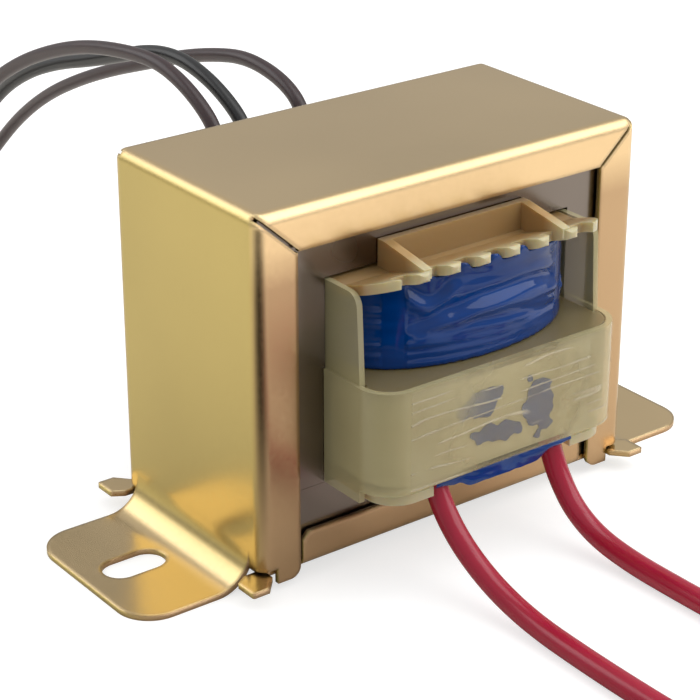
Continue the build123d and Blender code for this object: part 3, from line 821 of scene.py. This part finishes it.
def lead(name, route, diameter, material, solids, bare_node, bare_diameter):
    """One insulated lead along its route, in millimetres, with its bare end."""
    heading = [b - a for a, b in zip(route[-2], route[-1])]
    end = tinned_end(name + "_tip", bare_node, route[-1], heading, bare_diameter)
    curve = bpy.data.curves.new(name, "CURVE")
    curve.dimensions = "3D"
    curve.bevel_depth = diameter * mm / 2
    curve.bevel_resolution = 8
    curve.use_fill_caps = True
    spline = curve.splines.new("NURBS")
    spline.points.add(len(route) - 1)
    for point, spot in zip(spline.points, route):
        point.co = (spot[0] * mm, spot[1] * mm, spot[2] * mm, 1)
    spline.order_u = 3
    spline.use_endpoint_u = True
    spline.resolution_u = 12
    piece = bpy.data.objects.new(name, curve)
    bpy.context.collection.objects.link(piece)
    curve.materials.append(material)
    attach(piece, "root")
    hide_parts(*solids)
    return piece


mains_diameter = 2.9
output_diameter = 2.0
mains_core = 1.3
output_core = 1.0
floor_mains = mains_diameter / 2
floor_output = output_diameter / 2
mains_y = -22.4
mains_top = 20.0
output_y = 22.3
output_top = 36.6
loop_radius = 17.4
loop_shrink = 4.8
loop_turns = 1.05
loop_points = 18

red_left_route = [
    (-9.2, mains_y, mains_top),
    (-9.2, mains_y, 15.2),
    (-9.2, -23.6, 11.6),
    (-9.2, -26.3, 8.2),
    (-9.2, -30.3, 5.3),
    (-9.2, -35.8, 3.0),
    (-9.2, -42.4, 1.7),
    (-9.3, -50.4, floor_mains),
    (-9.4, -59.2, floor_mains),
    (-9.2, -68.0, floor_mains),
]
red_right_route = [
    (9.4, mains_y, mains_top),
    (9.4, mains_y, 15.0),
    (9.5, -23.5, 11.2),
    (9.7, -25.2, 7.8),
    (9.8, -28.0, 4.7),
    (9.9, -32.4, 2.6),
    (10.1, -38.4, 1.7),
    (10.4, -45.6, floor_mains),
    (10.6, -54.4, floor_mains),
]
red_left_loop = loop((-9.2, -77.6, floor_mains), -1, loop_radius, loop_shrink, loop_turns, loop_points)
red_right_loop = loop((10.4, -64.0, floor_mains), 1, loop_radius, loop_shrink, loop_turns, loop_points)
crimson = insulation("crimson_pvc", "#9E0028", "#AE0234", 0.22)
lead(
    "mains_lead_left", red_left_route + red_left_loop, mains_diameter, crimson,
    ["red_lead_left", "red_loop_left"], "red_end_left", mains_core,
)
lead(
    "mains_lead_right", red_right_route + red_right_loop, mains_diameter, crimson,
    ["red_lead_right", "red_loop_right"], "red_end_right", mains_core,
)

# Output leads
# Three thinner leads, brown, black and brown, led up through slots of the rear comb and away in a
# low arc to the floor behind.
brown_left_route = [
    (-9.2, output_y, output_top),
    (-9.2, output_y, 41.2),
    (-9.1, 23.2, 44.9),
    (-9.0, 26.4, 47.3),
    (-9.0, 31.4, 49.6),
    (-9.0, 37.6, 50.9),
    (-9.0, 46.0, 50.2),
    (-9.0, 55.6, 48.5),
    (-9.0, 65.0, 45.6),
    (-9.1, 74.6, 41.6),
    (-9.4, 83.6, 36.4),
    (-9.8, 91.6, 29.4),
    (-10.4, 97.8, 20.8),
    (-11.2, 103.0, 11.8),
    (-12.6, 109.0, 4.2),
    (-15.4, 116.4, floor_output),
    (-19.2, 123.8, floor_output),
    (-22.8, 130.8, floor_output),
]
black_route = [
    (-4.6, output_y, output_top),
    (-4.6, output_y, 41.2),
    (-4.5, 23.3, 44.6),
    (-4.4, 26.8, 46.9),
    (-4.4, 32.0, 49.0),
    (-4.4, 38.6, 50.2),
    (-4.4, 46.2, 49.3),
    (-4.5, 54.2, 46.6),
    (-4.6, 62.8, 43.8),
    (-4.6, 71.8, 41.2),
    (-4.8, 80.8, 37.6),
    (-4.9, 89.0, 32.8),
    (-5.0, 96.4, 26.4),
    (-5.2, 102.8, 18.8),
    (-5.5, 108.6, 10.4),
    (-6.2, 115.0, 3.8),
    (-7.6, 122.6, floor_output),
    (-9.8, 130.6, floor_output),
    (-11.2, 137.8, floor_output),
]
brown_right_route = [
    (4.6, output_y, output_top),
    (4.6, output_y, 41.2),
    (4.9, 23.1, 44.7),
    (5.3, 26.2, 46.8),
    (5.5, 31.4, 48.2),
    (5.5, 37.8, 48.6),
    (5.5, 45.0, 47.2),
    (5.5, 53.6, 44.8),
    (5.5, 63.2, 41.4),
    (5.5, 73.4, 37.8),
    (5.5, 83.6, 33.6),
    (5.6, 93.8, 28.6),
    (5.6, 103.6, 22.2),
    (5.5, 112.4, 14.6),
    (5.2, 120.4, 6.6),
    (4.4, 129.0, floor_output),
    (2.8, 137.8, floor_output),
    (1.8, 145.4, floor_output),
]
brown = insulation("dark_brown_pvc", "#2A1A1C", "#382426", 0.36)
black = insulation("black_pvc", "#08090A", "#121315", 0.36)
lead(
    "output_lead_left", brown_left_route, output_diameter, brown,
    ["brown_lead_left"], "brown_end_left", output_core,
)
lead(
    "output_lead_middle", black_route, output_diameter, black,
    ["black_lead"], "black_end", output_core,
)
lead(
    "output_lead_right", brown_right_route, output_diameter, brown,
    ["brown_lead_right"], "brown_end_right", output_core,
)

# Floor and light
# A wide pale floor and three soft lamps. The camera sees the floor plain, and all other rays see a
# dark round patch at the front left, which isn't a real thing: it is there for the dark reflection
# that the photograph shows low on the bracket.
bpy.ops.mesh.primitive_plane_add(size=6, location=(0, 0, 0))
floor = bpy.context.object
floor.name = "floor"
white, tree = new_material("white_paper_sweep")
seen = add_node(tree, "ShaderNodeLightPath").outputs["Is Camera Ray"]
place = add_node(tree, "ShaderNodeTexCoord").outputs["Object"]
from_patch = add_node(
    tree, "ShaderNodeVectorMath", {0: place, 1: (-0.085, -0.085, 0)}, operation="DISTANCE"
)
shade = add_node(
    tree,
    "ShaderNodeMapRange",
    {0: from_patch.outputs["Value"], 1: 0.03, 2: 0.115, 3: 0.0, 4: 1.0},
    interpolation_type="SMOOTHSTEP",
)
spread = add_node(
    tree,
    "ShaderNodeMix",
    {0: shade.outputs[0], 6: colour("#15110D"), 7: colour("#F6F2EA")},
    data_type="RGBA",
)
paper = add_node(tree, "ShaderNodeBsdfDiffuse", {"Color": spread.outputs[2]})
pale = add_node(tree, "ShaderNodeBsdfDiffuse", {"Color": colour("#BCBCBC")})
glow = add_node(tree, "ShaderNodeEmission", {"Color": colour("#FFFFFF"), "Strength": 0.66})
lit = add_node(tree, "ShaderNodeAddShader", {0: pale.outputs[0], 1: glow.outputs[0]})
mixed = add_node(tree, "ShaderNodeMixShader", {0: seen, 1: paper.outputs[0], 2: lit.outputs[0]})
add_node(tree, "ShaderNodeOutputMaterial", {"Surface": mixed.outputs[0]})
floor.data.materials.append(white)

world = bpy.data.worlds.new("studio")
bpy.context.scene.world = world
world.use_nodes = True
tree = world.node_tree
tree.nodes.clear()
seen = add_node(tree, "ShaderNodeLightPath").outputs["Is Camera Ray"]
way = add_node(tree, "ShaderNodeTexCoord").outputs["Generated"]
height = add_node(tree, "ShaderNodeSeparateXYZ", {0: way}).outputs[2]
level = add_node(tree, "ShaderNodeMapRange", {0: height, 1: 0.0, 2: 0.9, 3: 0.48, 4: 0.7})
dim = add_node(tree, "ShaderNodeBackground", {"Color": colour("#FFFFFF"), "Strength": level.outputs[0]})
bright = add_node(tree, "ShaderNodeBackground", {"Color": colour("#FFFFFF"), "Strength": 1.0})
mixed = add_node(tree, "ShaderNodeMixShader", {0: seen, 1: dim.outputs[0], 2: bright.outputs[0]})
add_node(tree, "ShaderNodeOutputWorld", {"Surface": mixed.outputs[0]})


def softbox(name, spot, aim, size, power):
    """A square lamp that faces a point."""
    lamp = bpy.data.lights.new(name, "AREA")
    lamp.size = size
    lamp.energy = power
    box = bpy.data.objects.new(name, lamp)
    bpy.context.collection.objects.link(box)
    box.location = spot
    box.rotation_euler = (Vector(aim) - Vector(spot)).to_track_quat("-Z", "Y").to_euler()


softbox("overhead", (0.1, 0.05, 0.75), (0, 0, 0.02), 0.4, 0.9)
softbox("front_right", (0.34, -0.27, 0.44), (0, 0, 0.02), 0.6, 2.1)
softbox("rear_left", (-0.3, 0.45, 0.35), (-0.03, 0.02, 0.01), 0.42, 0.9)

bpy.context.scene.view_settings.view_transform = "Standard"
